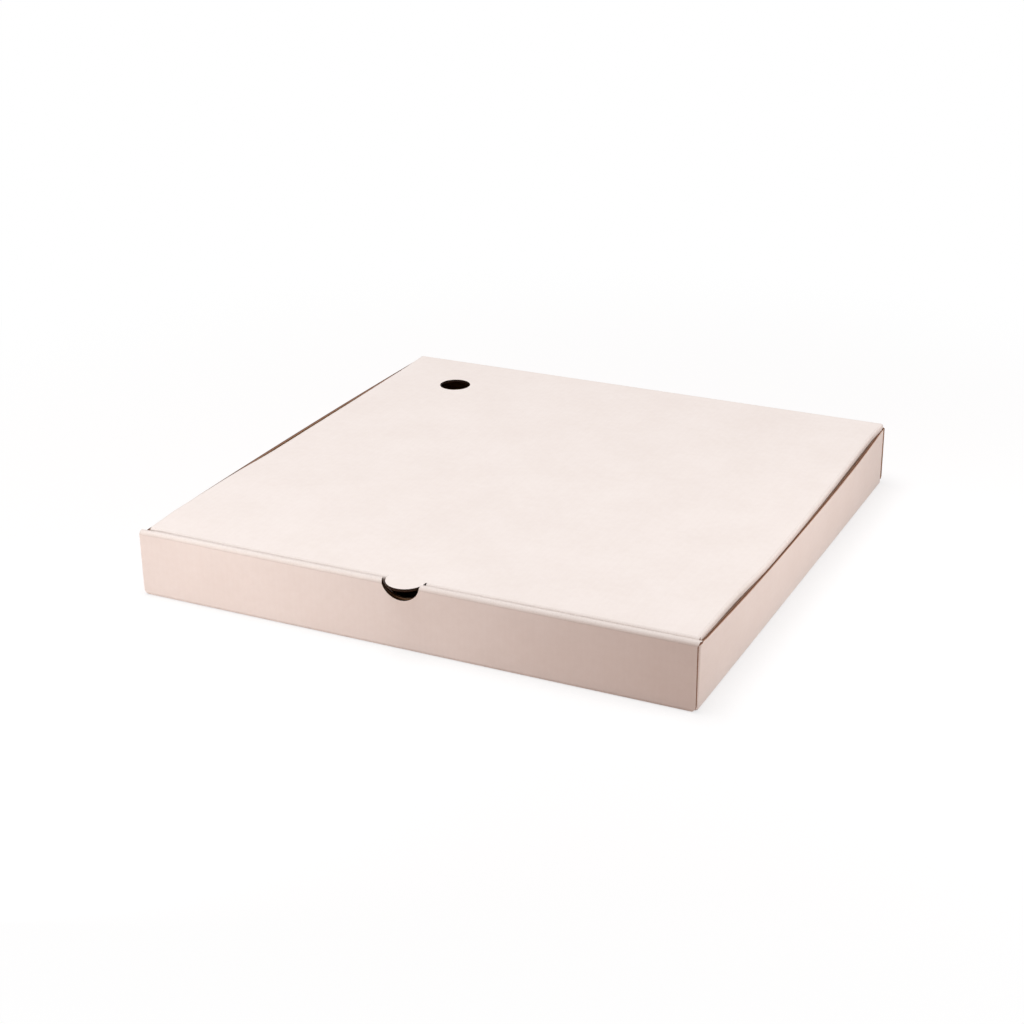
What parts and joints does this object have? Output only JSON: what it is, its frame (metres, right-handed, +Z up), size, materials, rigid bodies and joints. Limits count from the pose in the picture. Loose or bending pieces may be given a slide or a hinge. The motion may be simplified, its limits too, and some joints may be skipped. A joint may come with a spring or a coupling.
{
  "type": "pizza box",
  "caption": "Flat square take-away box folded from white corrugated board, with a rolled front wall, a thumb notch and a hinged tuck-in lid with a round steam vent, for carrying a pizza",
  "frame": {"origin": "centre of the underside, on the surface that the box stands on", "axes": "+X to the right, -Y to the front with the thumb notch, +Z up"},
  "size_m": [0.33, 0.3343, 0.0395],
  "materials": {
    "tray_board": "white-lined fine-flute corrugated board, brown inside and at its cut edges",
    "lid_board": "white-lined fine-flute corrugated board, brown inside and at its cut edges"
  },
  "bodies": {
    "tray": {"tray": "tray_board"},
    "lid": {"lid": "lid_board"}
  },
  "joints": [
    {"name": "lid_hinge", "type": "hinge", "parent": "tray", "child": "lid", "pos_m": [0, 0.16454, 0.03904], "axis": [-1, 0, 0], "range_deg": [0, 180]}
  ]
}
